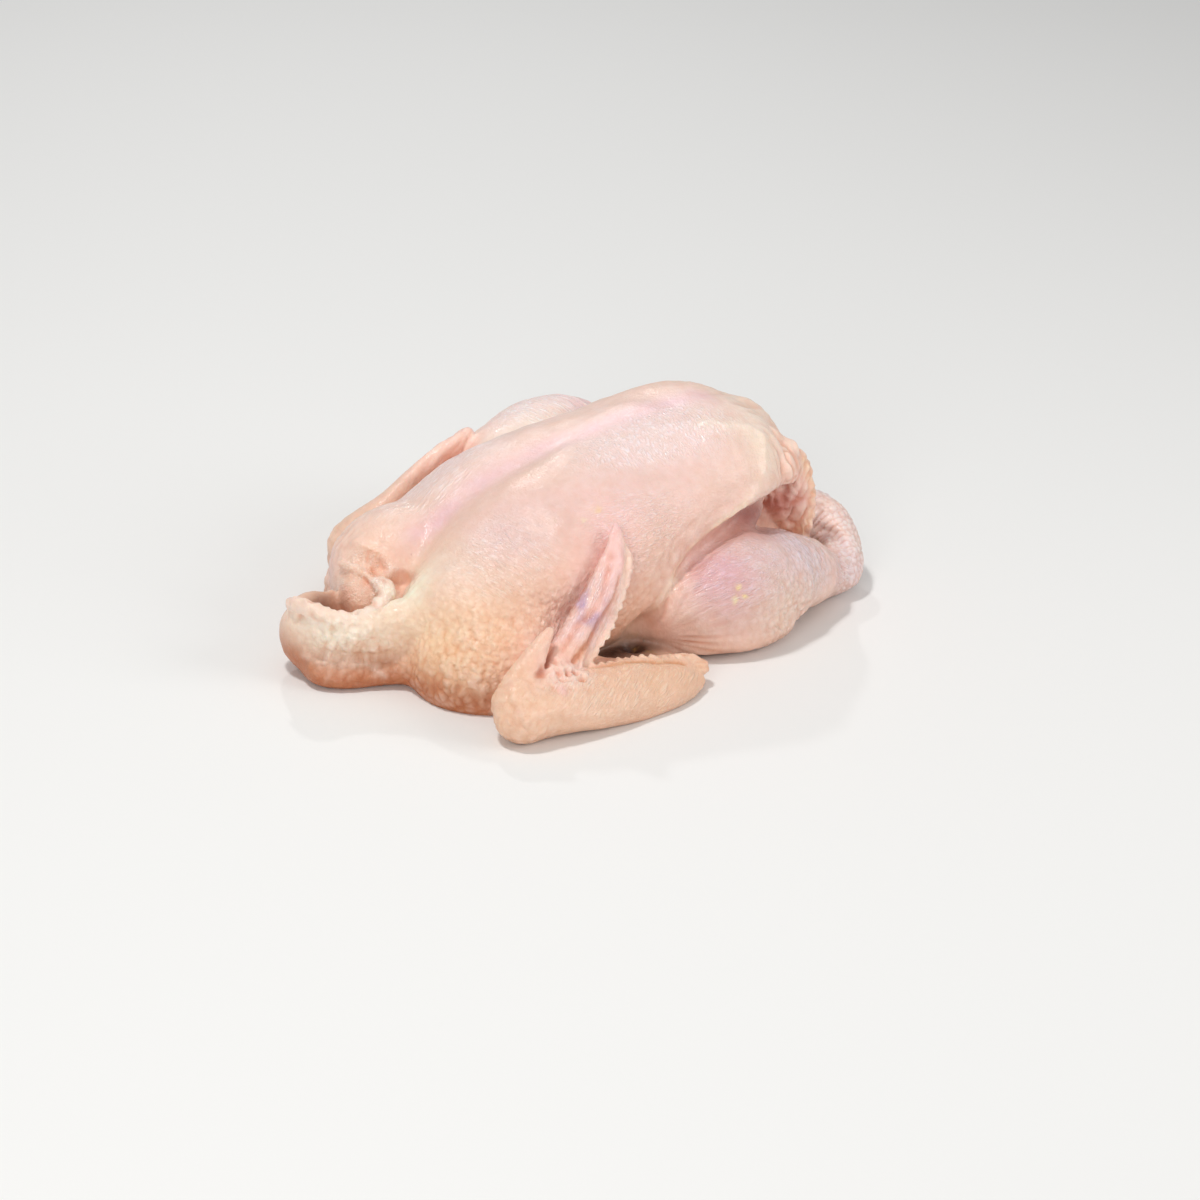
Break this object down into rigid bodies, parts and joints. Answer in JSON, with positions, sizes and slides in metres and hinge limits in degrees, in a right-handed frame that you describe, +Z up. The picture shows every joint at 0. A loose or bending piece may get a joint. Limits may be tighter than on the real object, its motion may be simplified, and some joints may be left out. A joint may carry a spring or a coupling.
{
  "type": "whole raw chicken",
  "caption": "Whole raw chicken lying on its back, breast up, with folded wings, tucked hocks and a loose flap of neck skin.",
  "frame": {"origin": "middle of the bird's footprint, on the surface that it lies on", "axes": "+X runs from the neck to the tail, +Y to the side away from the camera in the picture, +Z up from the flat back to the breast"},
  "size_m": [0.2908, 0.2118, 0.099],
  "materials": {
    "chicken_skin": "moist raw skin"
  },
  "bodies": {
    "root": {"chicken": "chicken_skin"}
  },
  "joints": []
}
